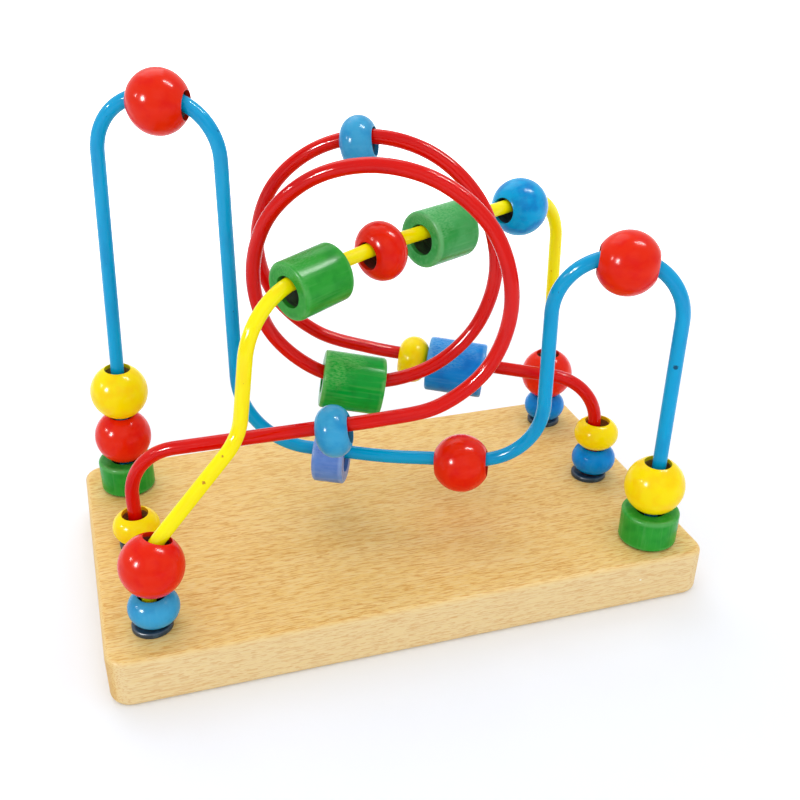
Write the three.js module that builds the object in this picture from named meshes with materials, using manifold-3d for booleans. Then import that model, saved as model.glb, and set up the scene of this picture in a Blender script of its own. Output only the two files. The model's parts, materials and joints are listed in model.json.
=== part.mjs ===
// Bead maze: three bent wires stand on a beech board, and wooden beads run along them.
// Millimetres, +Z up, +X along the board, +Y to the back.
// The origin is the middle of the board's underside.
import * as THREE from "three";
import { mergeVertices } from "three/addons/utils/BufferGeometryUtils.js";
import Module from "manifold-3d";

const wasm = await Module();
wasm.setup();

// Board
const boardLength = 258;
const boardWidth = 150;
const boardThickness = 22;
const boardCornerRadius = 9;
const boardEdgeRounding = 2.5;

// Feet of the wires
const footInsetX = 20;
const footInsetY = 19.75;
const blueFeetForward = 2.3;
const yellowBackFootForward = 1.3;
const redFootOffset = 2.5;
const redRightFootInset = 1.7;

// Wires and what holds them in the board
const wireDiameter = 6;
const wireDepth = 14;
const flangeDiameter = 16.5;
const flangeThickness = 2.5;
const flangeChamferShare = 0.33;
const sleeveWall = 2;
const sleeveLength = 12;
const pressGap = 0.3;

// Beads
const runningGap = 0.3;
const pileGap = 0.5;
const roundBoreClearance = 5.4;
const cylinderBoreClearance = 7;
const ballDiameter = 25.8;
const cylinderDiameter = 24;
const cylinderLength = 24;
const shortCylinderLength = 14;
const largeCylinderDiameter = 25.2;
const largeCylinderLength = 26.7;
const discDiameter = 25;
const discLength = 14.8;
const ovalDiameter = 21.8;
const ovalLength = 14.2;
const largeOvalDiameter = 24.5;
const largeOvalLength = 16;
const buttonDiameter = 20.6;
const buttonLength = 14;
const beadEdgeRounding = 1.2;
const leaningReachShare = 0.97;
const frontButtonShift = 1.4;
const frontBallShift = 0.6;
const rightButtonShift = 1.7;
const rightDiscShift = -0.7;

// Blue wire: heights are above the board, distances run from the back left foot
const tallArchRise = 183;
const tallArchWidth = 50.7;
const tallArchLean = 8.6;
const tallArchLegLean = 1.1;
const tallArchBend = 24;
const sagStartRise = 31.2;
const sagStartBend = 33;
const sagMiddleRise = 29.2;
const sagMiddleBend = 150;
const sagEndRise = 33.5;
const sagEndBend = 30;
const lowArchRise = 129.1;
const lowArchWidth = 51.4;
const lowArchLegLean = 1.1;
const lowArchBend = 25;
const legBend = 60;

// Yellow wire: heights are above the board, distances run from the front left foot
const slopeStartRise = 33;
const slopeStartBend = 20;
const slopeRun = 48.2;
const slopeHeight = 34;
const slopeEndBend = 20;
const steepRun = 9.2;
const steepHeight = 55;
const steepEndBend = 30;
const yellowRunHeight = 4.7;
const yellowRunBend = 200;
const yellowRunDrop = 1.2;
const yellowLegLean = 4;
const yellowLegBend = 25;

// Red wire: its straight runs and its coil of two turns, which runs back and a little to the right
const redLeftRise = 45.9;
const redLeftBend = 26;
const redRightRise = 50.3;
const redRightBend = 23;
const coilRadius = 50.4;
const coilYawDegrees = -22;
const coilFrontX = -9.5;
const coilFrontY = -36;
const coilFrontRise = 115.6;
const coilBackX = 10.9;
const coilBackY = 42;
const coilBackRise = 114.1;
const coilTurns = 2;
const radiiPerTurn = 12;

// The coil is bent by hand: its radius at every twelfth of a turn, from its lowest point
const coilRadiusShares = [
  0.959, 0.972, 1.004, 1.018, 1.017, 0.988, 0.969, 0.974, 0.99, 1.005, 1.033, 1.022,
  1.008, 0.996, 0.998, 1.007, 1.006, 1.001, 0.997, 0.995, 1.012, 1.025, 1.03, 1.018,
];

// Where the wire leaves the coil: across, back and up from the centre of its back end
const coilExitShares = [
  [-0.027, 0, -1.04],
  [0.23, -0.067, -1.1],
];

// Places on the straight runs that lead into the coil and out of it
const leadInShares = [0.5, 0.75];
const leadOutShares = [0.25, 0.5];

// Places of the beads along their stretches of wire
const tallArchBeadShare = 0.55;
const lilacShare = 0.291;
const lowBallShare = 0.537;
const lowArchBeadShare = 0.552;
const redRunBeadShare = 0.817;
const coilBottomBeadTurns = 0.968;
const coilTopBeadTurns = 1.52;
const backBeadShare = 0.08;
const yellowRunCrownShare = 0.367;
const yellowRunBeadShares = [0.15, 0.364, 0.565, 0.865];

// How finely curves are cut
const boreSides = 16;
const wireSides = 10;
const bendSteps = 6;
const gentleBendSteps = 2;
const gentleBend = 0.2;
const coilSteps = 84;
const roundSteps = 8;
const edgeSteps = 3;
const bushingSides = 16;
const cornerSteps = 6;
const samples = 12;

const wireRadius = wireDiameter / 2;
const roundBore = (wireDiameter + roundBoreClearance) / 2;
const cylinderBore = (wireDiameter + cylinderBoreClearance) / 2;
const sleeveBore = wireRadius + pressGap;
const sleeveRadius = sleeveBore + sleeveWall;
const holeRadius = sleeveRadius + pressGap;
const holeDepth = wireDepth + pressGap;
const top = boardThickness;
const footX = boardLength / 2 - footInsetX;
const footY = boardWidth / 2 - footInsetY;
const quarterTurn = Math.PI / 2;
const fullTurn = Math.PI * 2;

const colours = {
  beech: { color: 0xdfb984, roughness: 0.55, metalness: 0 },
  bushing: { color: 0x16171a, roughness: 0.45, metalness: 0 },
  wireBlue: { color: 0x0a86c8, roughness: 0.3, metalness: 0 },
  wireRed: { color: 0xbf1a1d, roughness: 0.3, metalness: 0 },
  wireYellow: { color: 0xf6d80c, roughness: 0.3, metalness: 0 },
  red: { color: 0xd01c12, roughness: 0.25, metalness: 0 },
  yellow: { color: 0xf3cf15, roughness: 0.3, metalness: 0 },
  green: { color: 0x15743a, roughness: 0.3, metalness: 0 },
  blue: { color: 0x2470c4, roughness: 0.3, metalness: 0 },
  lightBlue: { color: 0x4a94dc, roughness: 0.3, metalness: 0 },
  lilac: { color: 0x7c86d4, roughness: 0.35, metalness: 0 },
};

const maze = new THREE.Group();

function addMesh(name, geometry, colour) {
  const mesh = new THREE.Mesh(geometry, new THREE.MeshStandardMaterial(colours[colour]));
  mesh.name = name;
  maze.add(mesh);
  return mesh;
}

// Solids for cutting
function toSolid(geometry) {
  const bare = geometry.clone();
  bare.deleteAttribute("normal");
  bare.deleteAttribute("uv");
  const merged = mergeVertices(bare);
  return new wasm.Manifold(new wasm.Mesh({
    numProp: 3,
    vertProperties: new Float32Array(merged.attributes.position.array),
    triVerts: new Uint32Array(merged.index.array),
  }));
}

function toGeometry(solid) {
  const mesh = solid.getMesh();
  const geometry = new THREE.BufferGeometry();
  geometry.setAttribute("position", new THREE.BufferAttribute(mesh.vertProperties, 3));
  geometry.setIndex(new THREE.BufferAttribute(mesh.triVerts, 1));
  geometry.computeVertexNormals();
  return geometry;
}

// Board with a blind hole at each foot
function boardOutline() {
  const inset = boardEdgeRounding;
  const halfX = boardLength / 2 - inset;
  const halfY = boardWidth / 2 - inset;
  const radius = boardCornerRadius - inset;
  const outline = new THREE.Shape();
  outline.absarc(halfX - radius, halfY - radius, radius, 0, quarterTurn);
  outline.absarc(-halfX + radius, halfY - radius, radius, quarterTurn, Math.PI);
  outline.absarc(-halfX + radius, -halfY + radius, radius, Math.PI, Math.PI + quarterTurn);
  outline.absarc(halfX - radius, -halfY + radius, radius, Math.PI + quarterTurn, fullTurn);
  return outline;
}

function board(feet) {
  const slab = new THREE.ExtrudeGeometry(boardOutline(), {
    depth: boardThickness - 2 * boardEdgeRounding,
    bevelThickness: boardEdgeRounding,
    bevelSize: boardEdgeRounding,
    bevelSegments: edgeSteps,
    curveSegments: cornerSteps / 2,
  });
  slab.translate(0, 0, boardEdgeRounding);
  let solid = toSolid(slab);
  for (const foot of feet) {
    const hole = new THREE.CylinderGeometry(holeRadius, holeRadius, 2 * holeDepth, bushingSides);
    hole.rotateX(quarterTurn);
    hole.translate(foot.x, foot.y, top);
    solid = solid.subtract(toSolid(hole));
  }
  return toGeometry(solid);
}

// Bushing: its sleeve fills the hole round the wire, and a flange may lie on the board
function bushing(flanged) {
  const flangeRadius = flangeDiameter / 2;
  const chamfer = flangeThickness * flangeChamferShare;
  const flange = [
    [flangeRadius, 0],
    [flangeRadius, flangeThickness - chamfer],
    [flangeRadius - chamfer, flangeThickness],
    [sleeveBore, flangeThickness],
  ];
  const profile = [
    [sleeveBore, -sleeveLength],
    [sleeveRadius, -sleeveLength],
    [sleeveRadius, 0],
    ...(flanged ? flange : [[sleeveBore, 0]]),
    [sleeveBore, -sleeveLength],
  ];
  const geometry = new THREE.LatheGeometry(
    profile.map(([radius, height]) => new THREE.Vector2(radius, height)),
    bushingSides,
  );
  return geometry.rotateX(quarterTurn);
}

// Round bead: its side is an arc as wide as the bead is long, so equal sizes make a ball
function roundBead(diameter, length) {
  const arcRadius = length / 2;
  const arcCentre = diameter / 2 - arcRadius;
  const reach = Math.acos((roundBore - arcCentre) / arcRadius);
  const profile = [];
  for (let step = 0; step <= roundSteps; step += 1) {
    const angle = reach * (2 * step / roundSteps - 1);
    profile.push(new THREE.Vector2(
      arcCentre + arcRadius * Math.cos(angle),
      arcRadius * Math.sin(angle),
    ));
  }
  profile.push(profile[0].clone());
  return {
    geometry: new THREE.LatheGeometry(profile, boreSides),
    halfLength: arcRadius * Math.sin(reach),
    bore: roundBore,
  };
}

// Cylinder bead with rounded edges
function cylinderBead(diameter, length) {
  const radius = diameter / 2;
  const half = length / 2;
  const inner = radius - beadEdgeRounding;
  const profile = [new THREE.Vector2(cylinderBore, -half)];
  for (const side of [-1, 1]) {
    for (let step = 0; step <= edgeSteps; step += 1) {
      const share = side < 0 ? edgeSteps - step : step;
      const angle = quarterTurn * share / edgeSteps;
      profile.push(new THREE.Vector2(
        inner + beadEdgeRounding * Math.cos(angle),
        side * (half - beadEdgeRounding + beadEdgeRounding * Math.sin(angle)),
      ));
    }
  }
  profile.push(new THREE.Vector2(cylinderBore, half));
  profile.push(profile[0].clone());
  return {
    geometry: new THREE.LatheGeometry(profile, boreSides),
    halfLength: half,
    bore: cylinderBore,
  };
}

const beadShapes = {
  ball: () => roundBead(ballDiameter, ballDiameter),
  oval: () => roundBead(ovalDiameter, ovalLength),
  largeOval: () => roundBead(largeOvalDiameter, largeOvalLength),
  button: () => roundBead(buttonDiameter, buttonLength),
  cylinder: () => cylinderBead(cylinderDiameter, cylinderLength),
  shortCylinder: () => cylinderBead(cylinderDiameter, shortCylinderLength),
  largeCylinder: () => cylinderBead(largeCylinderDiameter, largeCylinderLength),
  disc: () => cylinderBead(discDiameter, discLength),
};

// A route through stations: a ring of the wire sits at each one
class Route extends THREE.Curve {
  constructor(stations) {
    super();
    this.stations = stations.filter((point, index) => (
      index === 0 || point.distanceTo(stations[index - 1]) > runningGap
    ));
    this.lengths = [0];
    for (let index = 1; index < this.stations.length; index += 1) {
      const step = this.stations[index].distanceTo(this.stations[index - 1]);
      this.lengths.push(this.lengths[index - 1] + step);
    }
    this.total = this.lengths[this.lengths.length - 1];
  }

  getPoint(share) {
    const last = this.stations.length - 1;
    const index = Math.min(Math.floor(share * last), last - 1);
    return this.stations[index].clone().lerp(this.stations[index + 1], share * last - index);
  }

  getUtoTmapping(share) {
    return share;
  }

  pointAfter(length) {
    let index = 1;
    while (index < this.lengths.length - 1 && this.lengths[index] < length) {
      index += 1;
    }
    const start = this.lengths[index - 1];
    const share = (length - start) / (this.lengths[index] - start);
    return this.stations[index - 1].clone().lerp(this.stations[index], share);
  }

  lengthNear(place) {
    let best = 0;
    for (let index = 1; index < this.stations.length; index += 1) {
      const line = new THREE.Line3(this.stations[index - 1], this.stations[index]);
      const share = line.closestPointToPointParameter(place, true);
      const length = THREE.MathUtils.lerp(this.lengths[index - 1], this.lengths[index], share);
      if (this.pointAfter(length).distanceTo(place) < this.pointAfter(best).distanceTo(place)) {
        best = length;
      }
    }
    return best;
  }
}

// Straight stretches between corners, each inner corner rounded with its bend radius
function bentStations(corners) {
  const stations = [corners[0].at];
  for (let index = 1; index < corners.length - 1; index += 1) {
    const { at, bend } = corners[index];
    const back = corners[index - 1].at.clone().sub(at).normalize();
    const ahead = corners[index + 1].at.clone().sub(at).normalize();
    const half = back.angleTo(ahead) / 2;
    const turn = Math.PI - 2 * half;
    const steps = turn < gentleBend ? gentleBendSteps : bendSteps;
    const middle = back.clone().add(ahead).normalize();
    const centre = at.clone().addScaledVector(middle, bend / Math.sin(half));
    const start = at.clone().addScaledVector(back, bend / Math.tan(half)).sub(centre);
    const axis = back.clone().cross(ahead).normalize().negate();
    for (let step = 0; step <= steps; step += 1) {
      stations.push(start.clone().applyAxisAngle(axis, turn * step / steps).add(centre));
    }
  }
  stations.push(corners[corners.length - 1].at);
  return stations;
}

function wireGeometry(route) {
  const section = new THREE.Shape();
  section.absarc(0, 0, wireRadius, 0, fullTurn);
  return new THREE.ExtrudeGeometry(section, {
    steps: route.stations.length - 1,
    curveSegments: wireSides / 2,
    bevelEnabled: false,
    extrudePath: route,
  });
}

// Feet of the three wires
const feet = {
  blueStart: new THREE.Vector3(-footX, footY - blueFeetForward, 0),
  blueEnd: new THREE.Vector3(footX, -footY - blueFeetForward, 0),
  yellowStart: new THREE.Vector3(-footX, -footY, 0),
  yellowEnd: new THREE.Vector3(footX, footY - yellowBackFootForward, 0),
  redStart: new THREE.Vector3(-footX, redFootOffset, 0),
  redEnd: new THREE.Vector3(footX - redRightFootInset, -redFootOffset, 0),
};
const wireFoot = -wireDepth;
const discKnee = discLength + 2 * pileGap;
const buttonKnee = flangeThickness + buttonLength + 2 * pileGap;

// Points in the upright plane of two feet: distance from the first foot, height above the board
function uprightPlane(start, end) {
  const along = end.clone().sub(start).normalize();
  return (distance, rise) => (
    start.clone().addScaledVector(along, distance).setZ(top + rise)
  );
}

function blueCorners() {
  const place = uprightPlane(feet.blueStart, feet.blueEnd);
  const diagonal = feet.blueStart.distanceTo(feet.blueEnd);
  const tallArchEnd = tallArchLean + tallArchWidth;
  const sagStart = tallArchEnd - tallArchLegLean;
  const lowArchStart = diagonal - lowArchWidth;
  const sagEnd = lowArchStart + lowArchLegLean;
  return [
    { at: place(0, wireFoot) },
    { at: place(0, discKnee), bend: legBend },
    { at: place(tallArchLean, tallArchRise), bend: tallArchBend },
    { at: place(tallArchEnd, tallArchRise), bend: tallArchBend },
    { at: place(sagStart, sagStartRise), bend: sagStartBend },
    { at: place((sagStart + sagEnd) / 2, sagMiddleRise), bend: sagMiddleBend },
    { at: place(sagEnd, sagEndRise), bend: sagEndBend },
    { at: place(lowArchStart, lowArchRise), bend: lowArchBend },
    { at: place(diagonal, lowArchRise), bend: lowArchBend },
    { at: place(diagonal, wireFoot) },
  ];
}

function yellowCorners() {
  const place = uprightPlane(feet.yellowStart, feet.yellowEnd);
  const diagonal = feet.yellowStart.distanceTo(feet.yellowEnd);
  const steepStartRise = slopeStartRise + slopeHeight;
  const steepEnd = slopeRun + steepRun;
  const steepEndRise = steepStartRise + steepHeight;
  const crownRise = steepEndRise + yellowRunHeight;
  const runEnd = diagonal - yellowLegLean;
  const crown = THREE.MathUtils.lerp(steepEnd, runEnd, yellowRunCrownShare);
  return [
    { at: place(0, wireFoot) },
    { at: place(0, slopeStartRise), bend: slopeStartBend },
    { at: place(slopeRun, steepStartRise), bend: slopeEndBend },
    { at: place(steepEnd, steepEndRise), bend: steepEndBend },
    { at: place(crown, crownRise), bend: yellowRunBend },
    { at: place(runEnd, crownRise - yellowRunDrop), bend: yellowLegBend },
    { at: place(diagonal, buttonKnee), bend: legBend },
    { at: place(diagonal, wireFoot) },
  ];
}

// Coil: the angle runs from the lowest point round to the right, and the centre moves back
const coilYaw = THREE.MathUtils.degToRad(coilYawDegrees);
const coilFront = new THREE.Vector3(coilFrontX, coilFrontY, top + coilFrontRise);
const coilBack = new THREE.Vector3(coilBackX, coilBackY, top + coilBackRise);

function coilPoint(turns) {
  const place = turns * radiiPerTurn;
  const index = Math.min(Math.floor(place), coilRadiusShares.length - 2);
  const share = THREE.MathUtils.lerp(
    coilRadiusShares[index],
    coilRadiusShares[index + 1],
    place - index,
  );
  const angle = turns * fullTurn - quarterTurn;
  const across = coilRadius * share * Math.cos(angle);
  const arm = new THREE.Vector3(
    across * Math.cos(coilYaw),
    across * Math.sin(coilYaw),
    coilRadius * share * Math.sin(angle),
  );
  return coilFront.clone().lerp(coilBack, turns / coilTurns).add(arm);
}

function coilExitPoint(shares) {
  return coilBack.clone().addScaledVector(new THREE.Vector3(...shares), coilRadius);
}

const redLeftCorner = feet.redStart.clone().setZ(top + redLeftRise);
const redRightCorner = feet.redEnd.clone().setZ(top + redRightRise);
const coilStart = coilPoint(0);
const coilEnd = coilExitPoint(coilExitShares[coilExitShares.length - 1]);

function redStations() {
  const coil = [
    ...leadInShares.map((share) => redLeftCorner.clone().lerp(coilStart, share)),
    ...coilRadiusShares.map((_, index) => coilPoint(index / radiiPerTurn)),
    ...coilExitShares.map(coilExitPoint),
    ...leadOutShares.map((share) => coilEnd.clone().lerp(redRightCorner, share)),
  ];
  const bends = new THREE.CatmullRomCurve3(coil, false, "centripetal");
  const stations = bends.getSpacedPoints(coilSteps);
  return [
    ...bentStations([
      { at: feet.redStart.clone().setZ(top + wireFoot) },
      { at: redLeftCorner, bend: redLeftBend },
      { at: stations[0] },
    ]).slice(0, -1),
    ...stations,
    ...bentStations([
      { at: stations[stations.length - 1] },
      { at: redRightCorner, bend: redRightBend },
      { at: feet.redEnd.clone().setZ(top + wireFoot) },
    ]).slice(1),
  ];
}

const blueRoute = new Route(bentStations(blueCorners()));
const yellowRoute = new Route(bentStations(yellowCorners()));
const redRoute = new Route(redStations());

// A bead's seat on its wire: the line through both mouths of its bore, and how far it may drop
function seatBead(route, length, halfLength, bore, hangs) {
  const start = route.pointAfter(length - halfLength);
  const end = route.pointAfter(length + halfLength);
  const axis = end.clone().sub(start).normalize();
  const down = new THREE.Vector3(0, 0, -1).addScaledVector(axis, axis.z).normalize();
  const middle = start.clone().add(end).divideScalar(2);
  let highest = 0;
  let lowest = 0;
  for (let step = 0; step <= samples; step += 1) {
    const at = length + halfLength * (2 * step / samples - 1);
    const below = route.pointAfter(at).sub(middle).dot(down);
    highest = Math.min(highest, below);
    lowest = Math.max(lowest, below);
  }
  const boreReach = bore * Math.cos(Math.PI / boreSides);
  const drop = hangs ? boreReach - wireRadius - runningGap + highest : (highest + lowest) / 2;
  return { position: middle.addScaledVector(down, drop), axis };
}

function addBead(name, shape, colour, route, length, hangs, shift = 0) {
  const { geometry, halfLength, bore } = beadShapes[shape]();
  const { position, axis } = seatBead(route, length, halfLength, bore, hangs);
  const bead = addMesh(name, geometry, colour);
  bead.position.copy(position);
  bead.position.x += shift;
  bead.quaternion.setFromUnitVectors(new THREE.Vector3(0, 1, 0), axis);
  return bead;
}

// Beads piled on a foot from the seat up; a leaning ball needs more room than its half length,
// and a loose bead may sit off the middle of its wire
function addPile(route, fromEnd, seat, pile) {
  let height = wireDepth + seat;
  for (const { name, shape, colour, leaning, shift } of pile) {
    const { halfLength } = beadShapes[shape]();
    const reach = leaning ? ballDiameter / 2 * leaningReachShare : halfLength;
    const middle = height + pileGap + reach;
    addBead(name, shape, colour, route, fromEnd ? route.total - middle : middle, false, shift);
    height = middle + halfLength;
  }
}

function lengthAt(route, start, end, share) {
  return THREE.MathUtils.lerp(route.lengthNear(start), route.lengthNear(end), share);
}

addMesh("base_board", board(Object.values(feet)), "beech");
const bushings = [
  ["bushing_back_left", feet.blueStart, false],
  ["bushing_front_right", feet.blueEnd, false],
  ["bushing_front_left", feet.yellowStart, true],
  ["bushing_back_right", feet.yellowEnd, true],
  ["bushing_left", feet.redStart, true],
  ["bushing_right", feet.redEnd, true],
];
for (const [name, foot, flanged] of bushings) {
  addMesh(name, bushing(flanged), "bushing").position.set(foot.x, foot.y, top);
}

addMesh("wire_blue", wireGeometry(blueRoute), "wireBlue");
addMesh("wire_yellow", wireGeometry(yellowRoute), "wireYellow");
addMesh("wire_red", wireGeometry(redRoute), "wireRed");

// Beads of the blue wire
addPile(blueRoute, false, 0, [
  { name: "blue_wire_green_disc_left", shape: "disc", colour: "green" },
  { name: "blue_wire_red_ball_left", shape: "ball", colour: "red" },
  { name: "blue_wire_yellow_ball_left", shape: "ball", colour: "yellow" },
]);
addPile(blueRoute, true, 0, [
  {
    name: "blue_wire_green_disc_right", shape: "disc", colour: "green", shift: rightDiscShift,
  },
  {
    name: "blue_wire_yellow_ball_right", shape: "ball", colour: "yellow", shift: rightDiscShift,
  },
]);
const [, , tallArchStart, tallArchEnd, sagStart, sagMiddle, sagEnd, lowArchStart, lowArchEnd] = (
  blueCorners().map(({ at }) => at)
);
addBead(
  "blue_wire_red_ball_tall_arch", "ball", "red", blueRoute,
  lengthAt(blueRoute, tallArchStart, tallArchEnd, tallArchBeadShare), true,
);
addBead(
  "blue_wire_lilac_cylinder", "shortCylinder", "lilac", blueRoute,
  lengthAt(blueRoute, sagStart, sagEnd, lilacShare), true,
);
addBead(
  "blue_wire_red_ball_low", "ball", "red", blueRoute,
  lengthAt(blueRoute, sagMiddle, sagEnd, lowBallShare), true,
);
addBead(
  "blue_wire_red_ball_low_arch", "ball", "red", blueRoute,
  lengthAt(blueRoute, lowArchStart, lowArchEnd, lowArchBeadShare), true,
);

// Beads of the red wire
addPile(redRoute, false, flangeThickness, [
  { name: "red_wire_yellow_button_left", shape: "button", colour: "yellow" },
]);
addPile(redRoute, true, flangeThickness, [
  {
    name: "red_wire_blue_button_right", shape: "button", colour: "blue", shift: rightButtonShift,
  },
  {
    name: "red_wire_yellow_button_right", shape: "button", colour: "yellow", shift: rightButtonShift,
  },
]);
addBead(
  "red_wire_blue_oval_low", "oval", "lightBlue", redRoute,
  lengthAt(redRoute, redLeftCorner, coilStart, redRunBeadShare), true,
);
addBead(
  "red_wire_green_cylinder", "largeCylinder", "green", redRoute,
  redRoute.lengthNear(coilPoint(coilBottomBeadTurns)), true,
);
addBead(
  "red_wire_blue_oval_top", "oval", "lightBlue", redRoute,
  redRoute.lengthNear(coilPoint(coilTopBeadTurns)), true,
);
const backOval = lengthAt(redRoute, coilEnd, redRightCorner, backBeadShare);
const backStep = beadShapes.oval().halfLength + largeCylinderLength / 2 + runningGap;
addBead("red_wire_yellow_oval", "oval", "yellow", redRoute, backOval, true);
addBead("red_wire_blue_cylinder", "largeCylinder", "blue", redRoute, backOval + backStep, true);

// Beads of the yellow wire
addPile(yellowRoute, false, flangeThickness, [
  {
    name: "yellow_wire_blue_button_left", shape: "button", colour: "lightBlue", shift: frontButtonShift,
  },
  {
    name: "yellow_wire_red_ball_left", shape: "ball", colour: "red", leaning: true, shift: frontBallShift,
  },
]);
addPile(yellowRoute, true, flangeThickness, [
  { name: "yellow_wire_blue_button_right", shape: "button", colour: "blue" },
  { name: "yellow_wire_red_ball_right", shape: "ball", colour: "red" },
]);
const [, , , yellowRunStart, , yellowRunEnd] = yellowCorners().map(({ at }) => at);
const yellowRunBeads = [
  ["yellow_wire_green_cylinder_left", "cylinder", "green"],
  ["yellow_wire_red_oval", "largeOval", "red"],
  ["yellow_wire_green_cylinder_right", "cylinder", "green"],
  ["yellow_wire_blue_ball", "ball", "blue"],
];
yellowRunBeads.forEach(([name, shape, colour], index) => {
  const share = yellowRunBeadShares[index];
  const length = lengthAt(yellowRoute, yellowRunStart, yellowRunEnd, share);
  addBead(name, shape, colour, yellowRoute, length, true);
});

export default maze;
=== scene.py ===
"""A wooden bead maze: turned, painted beads on three coated wires over a beech board.

Sizes are in metres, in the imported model's frame: +X along the board, +Y to the back, +Z up.
The wires follow the same corners and bends as the model, and each bead sits where its node is.
"""

import json
import math

import bmesh
import bpy
import numpy as np
from mathutils import Matrix, Vector


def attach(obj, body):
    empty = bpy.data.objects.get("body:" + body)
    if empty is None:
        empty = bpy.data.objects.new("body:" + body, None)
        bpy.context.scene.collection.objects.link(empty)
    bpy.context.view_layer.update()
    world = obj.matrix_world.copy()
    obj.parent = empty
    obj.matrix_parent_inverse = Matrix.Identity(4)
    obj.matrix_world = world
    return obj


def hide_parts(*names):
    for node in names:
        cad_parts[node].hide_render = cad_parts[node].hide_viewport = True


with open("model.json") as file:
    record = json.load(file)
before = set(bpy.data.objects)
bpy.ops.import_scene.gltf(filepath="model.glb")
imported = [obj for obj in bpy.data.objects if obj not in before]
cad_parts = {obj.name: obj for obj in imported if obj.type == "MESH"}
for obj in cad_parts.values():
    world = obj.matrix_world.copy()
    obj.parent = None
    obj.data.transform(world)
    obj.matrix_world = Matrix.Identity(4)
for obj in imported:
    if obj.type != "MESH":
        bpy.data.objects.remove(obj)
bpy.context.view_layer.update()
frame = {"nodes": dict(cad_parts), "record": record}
record = frame["record"]

MM = 0.001
UP = Vector((0, 0, 1))
QUARTER_TURN = math.pi / 2
FULL_TURN = math.pi * 2

# Camera
IMAGE_WIDTH = 800
FOCAL_LENGTH_PIXELS = 1026.3
OPTICAL_CENTRE_PIXEL = (372.9, 445.3)
SENSOR_WIDTH = 36
CAMERA_AZIMUTH = math.radians(-16.3)
CAMERA_ELEVATION = math.radians(30.56)
CAMERA_ROLL = math.radians(-0.23)
CAMERA_PLACE = Vector((-113.2, -381.4, 290.2)) * MM
CAMERA_NEAR = 10 * MM

# Board
BOARD_LENGTH = 258 * MM
BOARD_WIDTH = 150 * MM
BOARD_THICKNESS = 22 * MM
BOARD_CORNER_RADIUS = 9 * MM
BOARD_EDGE_ROUNDING = 2.5 * MM
BOARD_SUPPORT = 0.4 * MM
BOARD_EDGE_STEPS = 8
BOARD_CORNER_STEPS = 16
SHARP_EDGE = math.radians(40)

# Feet and bushings
FOOT_INSET_X = 20 * MM
FOOT_INSET_Y = 19.75 * MM
BLUE_FEET_FORWARD = 2.3 * MM
YELLOW_BACK_FOOT_FORWARD = 1.3 * MM
RED_FOOT_OFFSET = 2.5 * MM
RED_RIGHT_FOOT_INSET = 1.7 * MM
FLANGE_DIAMETER = 16.5 * MM
FLANGE_THICKNESS = 2.5 * MM
FLANGE_ROUNDING = 0.9 * MM
SLEEVE_RADIUS = 5.3 * MM
SLEEVE_BORE = 3.3 * MM
SLEEVE_LENGTH = 12 * MM
HOLE_RADIUS = 5.6 * MM
HOLE_DEPTH = 14.3 * MM

# Wires
WIRE_DIAMETER = 6 * MM
WIRE_DEPTH = 14 * MM
WIRE_SIDES = 24
WIRE_RING_SPACING = 2 * MM

# Blue wire: heights are above the board, distances run from the back left foot
TALL_ARCH_RISE = 183 * MM
TALL_ARCH_WIDTH = 50.7 * MM
TALL_ARCH_LEAN = 8.6 * MM
TALL_ARCH_LEG_LEAN = 1.1 * MM
TALL_ARCH_BEND = 24 * MM
SAG_START_RISE = 31.2 * MM
SAG_START_BEND = 33 * MM
SAG_MIDDLE_RISE = 29.2 * MM
SAG_MIDDLE_BEND = 150 * MM
SAG_END_RISE = 33.5 * MM
SAG_END_BEND = 30 * MM
LOW_ARCH_RISE = 129.1 * MM
LOW_ARCH_WIDTH = 51.4 * MM
LOW_ARCH_LEG_LEAN = 1.1 * MM
LOW_ARCH_BEND = 25 * MM
DISC_KNEE = 15.8 * MM
BUTTON_KNEE = 17.5 * MM
LEG_BEND = 60 * MM

# Yellow wire: heights are above the board, distances run from the front left foot
SLOPE_START_RISE = 33 * MM
SLOPE_START_BEND = 20 * MM
SLOPE_RUN = 48.2 * MM
SLOPE_HEIGHT = 34 * MM
SLOPE_END_BEND = 20 * MM
STEEP_RUN = 9.2 * MM
STEEP_HEIGHT = 55 * MM
STEEP_END_BEND = 30 * MM
YELLOW_RUN_HEIGHT = 4.7 * MM
YELLOW_RUN_BEND = 200 * MM
YELLOW_RUN_DROP = 1.2 * MM
YELLOW_RUN_CROWN_SHARE = 0.367
YELLOW_LEG_LEAN = 4 * MM
YELLOW_LEG_BEND = 25 * MM

# Red wire: its straight runs and its coil of two turns
RED_LEFT_RISE = 45.9 * MM
RED_LEFT_BEND = 26 * MM
RED_RIGHT_RISE = 50.3 * MM
RED_RIGHT_BEND = 23 * MM
COIL_RADIUS = 50.4 * MM
COIL_YAW = math.radians(-22)
COIL_FRONT = Vector((-9.5, -36, 137.6)) * MM
COIL_BACK = Vector((10.9, 42, 136.1)) * MM
COIL_TURNS = 2
RADII_PER_TURN = 12
# The coil isn't quite round: its radius at each twelfth of a turn, as a share of COIL_RADIUS.
# A fit to the coil's line in the photograph gave these shares.
COIL_RADIUS_SHARES = [
    0.959, 0.972, 1.004, 1.018, 1.017, 0.988, 0.969, 0.974, 0.99, 1.005, 1.033, 1.022,
    1.008, 0.996, 0.998, 1.007, 1.006, 1.001, 0.997, 0.995, 1.012, 1.025, 1.03, 1.018,
]
COIL_EXIT_SHARES = [(-0.027, 0, -1.04), (0.23, -0.067, -1.1)]
LEAD_IN_SHARES = [0.5, 0.75]
LEAD_OUT_SHARES = [0.25, 0.5]
COIL_STEPS_PER_STRETCH = 16
BEND_STEPS_PER_QUARTER = 24

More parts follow.
